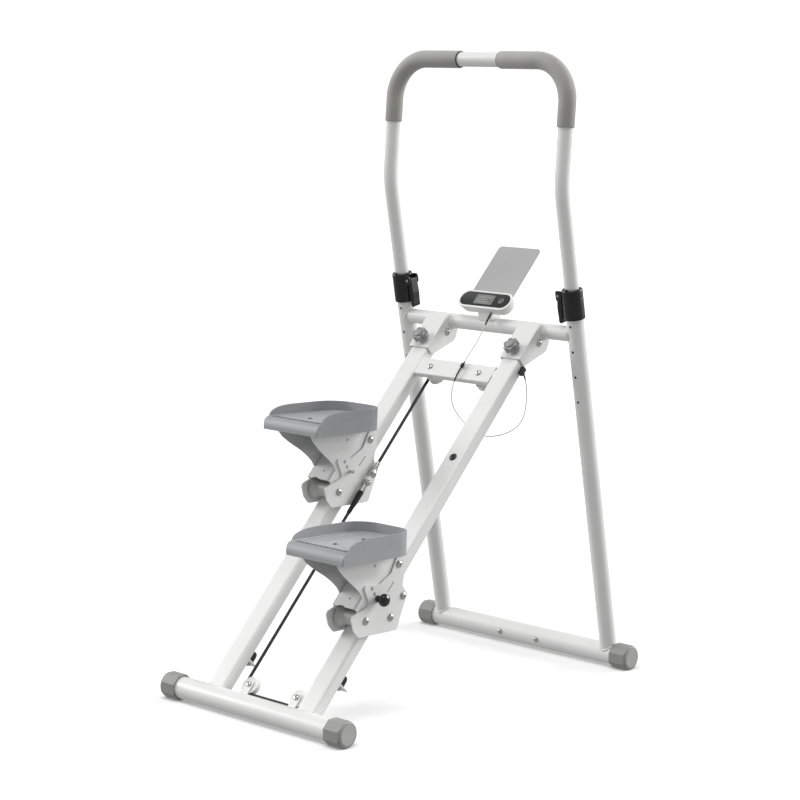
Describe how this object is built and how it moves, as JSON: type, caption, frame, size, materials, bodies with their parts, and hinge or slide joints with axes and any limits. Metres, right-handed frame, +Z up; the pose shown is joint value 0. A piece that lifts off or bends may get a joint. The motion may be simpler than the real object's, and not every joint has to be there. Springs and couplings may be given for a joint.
{
  "type": "vertical climber",
  "caption": "Folding vertical climber: two pedal carriages run on sloping rails in opposite directions, tied by a rope over pulleys, with a height-adjustable handlebar and a small console.",
  "frame": {"origin": "floor level, in the middle of the footprint", "axes": "+Z up, +X to the user's right as they stand on the pedals facing the handlebar, +Y from the rear foot bar towards the front base bar"},
  "size_m": [0.634, 0.932, 1.3873],
  "materials": {
    "white_paint": "gloss white powder coat",
    "pedal_grey": "fine-textured mid grey",
    "cap_grey": "matt dark grey",
    "foam_grey": "soft grey foam",
    "knob_grey": "matt mid grey",
    "roller_grey": "light grey nylon",
    "black_plastic": "satin black",
    "black_rubber": "matt black",
    "rope_black": "black braid",
    "zinc": "bright zinc plate",
    "white_plastic": "satin white",
    "wire_white": "off-white cable jacket",
    "plate_grey": "satin mid grey"
  },
  "bodies": {
    "upright_frame": {"front_base_bar": "white_paint", "front_cap_left": "cap_grey", "front_cap_right": "cap_grey", "leg_left": "white_paint", "leg_right": "white_paint", "collar_left": "black_plastic", "collar_right": "black_plastic", "crossbar": "white_paint", "console_body": "white_plastic", "phone_plate": "plate_grey", "console_wire": "wire_white"},
    "handlebar_unit": {"handlebar": "white_paint", "grip_left": "foam_grey", "grip_right": "foam_grey"},
    "rail_frame": {"rear_foot_bar": "white_paint", "rear_cap_left": "cap_grey", "rear_cap_right": "cap_grey", "rail_left": "white_paint", "rail_right": "white_paint", "bump_stop_left": "black_rubber", "bump_stop_right": "black_rubber", "cross_plate": "white_paint", "hinge_bolt_left": "zinc", "hinge_bolt_right": "zinc", "rope_upper_turn": "rope_black", "rope_lower_turn": "rope_black", "wire_connector": "black_plastic", "sensor_wire": "wire_white", "sensor": "black_plastic", "rope_upper_left": "rope_black", "rope_upper_right": "rope_black", "rope_lower_left": "rope_black", "rope_lower_right": "rope_black"},
    "console_push_button": {"console_button": "black_plastic"},
    "clamp_lever_body_left": {"clamp_lever_left": "black_plastic"},
    "fold_knob_body_left": {"fold_knob_left": "knob_grey"},
    "carriage_left": {"carriage_frame_left": "white_paint", "pedal_bolt_left": "zinc"},
    "upper_roller_body_left": {"upper_roller_left": "roller_grey"},
    "lower_roller_body_left": {"lower_roller_left": "roller_grey"},
    "under_roller_a_body_left": {"under_roller_a_left": "roller_grey"},
    "under_roller_b_body_left": {"under_roller_b_left": "roller_grey"},
    "upper_pulley_body_left": {"upper_pulley_left": "white_plastic"},
    "lower_pulley_body_left": {"lower_pulley_left": "white_plastic"},
    "pedal_left": {"pedal_support_left": "white_paint", "pedal_tray_left": "pedal_grey"},
    "pull_pin_body_left": {"pull_pin_left": "black_plastic"},
    "clamp_lever_body_right": {"clamp_lever_right": "black_plastic"},
    "fold_knob_body_right": {"fold_knob_right": "knob_grey"},
    "carriage_right": {"carriage_frame_right": "white_paint", "pedal_bolt_right": "zinc"},
    "upper_roller_body_right": {"upper_roller_right": "roller_grey"},
    "lower_roller_body_right": {"lower_roller_right": "roller_grey"},
    "under_roller_a_body_right": {"under_roller_a_right": "roller_grey"},
    "under_roller_b_body_right": {"under_roller_b_right": "roller_grey"},
    "upper_pulley_body_right": {"upper_pulley_right": "white_plastic"},
    "lower_pulley_body_right": {"lower_pulley_right": "white_plastic"},
    "pedal_right": {"pedal_support_right": "white_paint", "pedal_tray_right": "pedal_grey"},
    "pull_pin_body_right": {"pull_pin_right": "black_plastic"}
  },
  "joints": [
    {"name": "frame_fold", "type": "hinge", "parent": "upright_frame", "child": "rail_frame", "pos_m": [0, 0.2696, 0.7496], "axis": [1, 0, 0], "range_deg": [0, 48], "deforming": ["console_wire"]},
    {"name": "handlebar_height", "type": "slide", "parent": "upright_frame", "child": "handlebar_unit", "axis": [0, -0.1942, 0.981], "range_m": [-0.173, 0]},
    {"name": "console_button_press", "type": "slide", "parent": "upright_frame", "child": "console_push_button", "axis": [0, 0.7193, -0.6947], "range_m": [0, 0.001], "stiffness_N_per_m": 300},
    {"name": "clamp_lever_open_left", "type": "hinge", "parent": "upright_frame", "child": "clamp_lever_body_left", "pos_m": [-0.223, 0.27371, 0.86179], "axis": [0, -0.981, -0.1942], "range_deg": [0, 90]},
    {"name": "fold_knob_turn_left", "type": "hinge", "parent": "upright_frame", "child": "fold_knob_body_left", "pos_m": [-0.1355, 0.23862, 0.71696], "axis": [0, -0.7254, 0.6884], "continuous": true},
    {"name": "carriage_slide_left", "type": "slide", "parent": "rail_frame", "child": "carriage_left", "axis": [0, 0.6884, 0.7254], "range_m": [-0.415, 0.13], "deforming": ["rope_upper_left", "rope_lower_left"]},
    {"name": "upper_roller_spin_left", "type": "hinge", "parent": "carriage_left", "child": "upper_roller_body_left", "pos_m": [-0.1355, 0.00689, 0.53087], "axis": [1, 0, 0], "range_deg": [-452.9, 1442.6]},
    {"name": "lower_roller_spin_left", "type": "hinge", "parent": "carriage_left", "child": "lower_roller_body_left", "pos_m": [-0.1355, -0.09292, 0.42569], "axis": [1, 0, 0], "range_deg": [-452.9, 1442.6]},
    {"name": "under_roller_a_spin_left", "type": "hinge", "parent": "carriage_left", "child": "under_roller_a_body_left", "pos_m": [-0.1355, 0.02025, 0.46098], "axis": [1, 0, 0], "range_deg": [-2105.7, 660.7]},
    {"name": "under_roller_b_spin_left", "type": "hinge", "parent": "carriage_left", "child": "under_roller_b_body_left", "pos_m": [-0.1355, -0.01795, 0.42072], "axis": [1, 0, 0], "range_deg": [-2105.7, 660.7]},
    {"name": "upper_pulley_spin_left", "type": "hinge", "parent": "rail_frame", "child": "upper_pulley_body_left", "pos_m": [-0.0715, 0.19664, 0.65892], "axis": [0, -0.7254, 0.6884], "range_deg": [-415.3, 1322.5]},
    {"name": "lower_pulley_spin_left", "type": "hinge", "parent": "rail_frame", "child": "lower_pulley_body_left", "pos_m": [-0.0715, -0.38226, 0.04888], "axis": [0, -0.7254, 0.6884], "range_deg": [-415.3, 1322.5]},
    {"name": "pedal_tilt_left", "type": "hinge", "parent": "carriage_left", "child": "pedal_left", "pos_m": [-0.1355, 0.00689, 0.53087], "axis": [1, 0, 0], "range_deg": [-18.4, 0]},
    {"name": "pull_pin_slide_left", "type": "slide", "parent": "carriage_left", "child": "pull_pin_body_left", "axis": [-1, 0, 0], "range_m": [0, 0.088]},
    {"name": "clamp_lever_open_right", "type": "hinge", "parent": "upright_frame", "child": "clamp_lever_body_right", "pos_m": [0.223, 0.27371, 0.86179], "axis": [0, 0.981, 0.1942], "range_deg": [0, 90]},
    {"name": "fold_knob_turn_right", "type": "hinge", "parent": "upright_frame", "child": "fold_knob_body_right", "pos_m": [0.1355, 0.23862, 0.71696], "axis": [0, -0.7254, 0.6884], "continuous": true},
    {"name": "carriage_slide_right", "type": "slide", "parent": "rail_frame", "child": "carriage_right", "axis": [0, 0.6884, 0.7254], "range_m": [-0.13, 0.415], "deforming": ["rope_upper_right", "rope_lower_right"]},
    {"name": "upper_roller_spin_right", "type": "hinge", "parent": "carriage_right", "child": "upper_roller_body_right", "pos_m": [0.1355, -0.18964, 0.32377], "axis": [1, 0, 0], "range_deg": [-1442.6, 452.9]},
    {"name": "lower_roller_spin_right", "type": "hinge", "parent": "carriage_right", "child": "lower_roller_body_right", "pos_m": [0.1355, -0.28945, 0.2186], "axis": [1, 0, 0], "range_deg": [-1442.6, 452.9]},
    {"name": "under_roller_a_spin_right", "type": "hinge", "parent": "carriage_right", "child": "under_roller_a_body_right", "pos_m": [0.1355, -0.17628, 0.25389], "axis": [1, 0, 0], "range_deg": [-660.7, 2105.7]},
    {"name": "under_roller_b_spin_right", "type": "hinge", "parent": "carriage_right", "child": "under_roller_b_body_right", "pos_m": [0.1355, -0.21448, 0.21363], "axis": [1, 0, 0], "range_deg": [-660.7, 2105.7]},
    {"name": "upper_pulley_spin_right", "type": "hinge", "parent": "rail_frame", "child": "upper_pulley_body_right", "pos_m": [0.0715, 0.19664, 0.65892], "axis": [0, -0.7254, 0.6884], "range_deg": [-415.3, 1322.5]},
    {"name": "lower_pulley_spin_right", "type": "hinge", "parent": "rail_frame", "child": "lower_pulley_body_right", "pos_m": [0.0715, -0.38226, 0.04888], "axis": [0, -0.7254, 0.6884], "range_deg": [-415.3, 1322.5]},
    {"name": "pedal_tilt_right", "type": "hinge", "parent": "carriage_right", "child": "pedal_right", "pos_m": [0.1355, -0.18964, 0.32377], "axis": [1, 0, 0], "range_deg": [-18.4, 0]},
    {"name": "pull_pin_slide_right", "type": "slide", "parent": "carriage_right", "child": "pull_pin_body_right", "axis": [1, 0, 0], "range_m": [0, 0.088]}
  ],
  "couplings": [
    {"joint": "carriage_slide_left", "follows": "carriage_slide_right", "ratio": -1},
    {"joint": "upper_roller_spin_left", "follows": "carriage_slide_right", "rad_per_m": 60.606},
    {"joint": "lower_roller_spin_left", "follows": "carriage_slide_right", "rad_per_m": 60.606},
    {"joint": "under_roller_a_spin_left", "follows": "carriage_slide_right", "rad_per_m": -88.496},
    {"joint": "under_roller_b_spin_left", "follows": "carriage_slide_right", "rad_per_m": -88.496},
    {"joint": "upper_pulley_spin_left", "follows": "carriage_slide_right", "rad_per_m": 55.556},
    {"joint": "lower_pulley_spin_left", "follows": "carriage_slide_right", "rad_per_m": 55.556},
    {"joint": "upper_roller_spin_right", "follows": "carriage_slide_right", "rad_per_m": -60.606},
    {"joint": "lower_roller_spin_right", "follows": "carriage_slide_right", "rad_per_m": -60.606},
    {"joint": "under_roller_a_spin_right", "follows": "carriage_slide_right", "rad_per_m": 88.496},
    {"joint": "under_roller_b_spin_right", "follows": "carriage_slide_right", "rad_per_m": 88.496},
    {"joint": "upper_pulley_spin_right", "follows": "carriage_slide_right", "rad_per_m": 55.556},
    {"joint": "lower_pulley_spin_right", "follows": "carriage_slide_right", "rad_per_m": 55.556}
  ]
}
